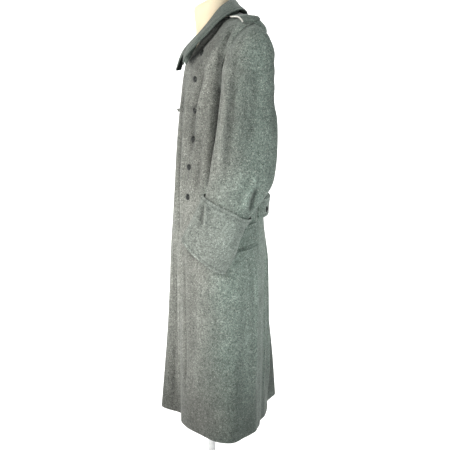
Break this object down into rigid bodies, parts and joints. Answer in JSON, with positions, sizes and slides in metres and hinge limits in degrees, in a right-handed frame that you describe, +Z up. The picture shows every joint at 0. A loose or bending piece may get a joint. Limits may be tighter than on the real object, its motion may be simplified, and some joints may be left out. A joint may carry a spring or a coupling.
{
  "type": "military greatcoat on a limbless dress form with a pole and base",
  "caption": "Double-breasted field-grey wool greatcoat with turned back cuffs, piped shoulder straps and a half-belt, worn by a limbless dress form on a pole with a round base.",
  "frame": {"origin": "centre of the base plate's underside, on the floor; the pole runs up the Z axis", "axes": "+Z up, the coat's front faces -Y, its wearer's left side is +X"},
  "size_m": [0.6576, 0.4043, 1.566],
  "materials": {
    "wool": "matte",
    "collar_wool": "matte",
    "piping": "matte",
    "button": "satin",
    "form": "matte",
    "stand": "painted"
  },
  "bodies": {
    "root": {"front_left": "wool", "front_right": "wool", "back_left": "wool", "back_right": "wool", "sleeve_left_upper": "wool", "sleeve_left_under": "wool", "sleeve_right_upper": "wool", "sleeve_right_under": "wool", "cuff_left": "wool", "cuff_right": "wool", "collar": "collar_wool", "shoulder_strap_left": "wool", "shoulder_strap_right": "wool", "strap_piping_left": "piping", "strap_piping_right": "piping", "strap_button_left": "button", "strap_button_right": "button", "front_button_left_1": "button", "front_button_left_2": "button", "front_button_left_3": "button", "front_button_left_4": "button", "front_button_left_5": "button", "front_button_left_6": "button", "front_button_right_1": "button", "front_button_right_2": "button", "front_button_right_3": "button", "front_button_right_4": "button", "front_button_right_5": "button", "front_button_right_6": "button", "half_belt_left": "wool", "half_belt_right": "wool", "half_belt_button_1": "button", "half_belt_button_2": "button", "pocket_flap_left": "wool", "pocket_flap_right": "wool", "form_torso": "form", "stand_pole": "stand", "stand_base": "stand"}
  },
  "joints": []
}
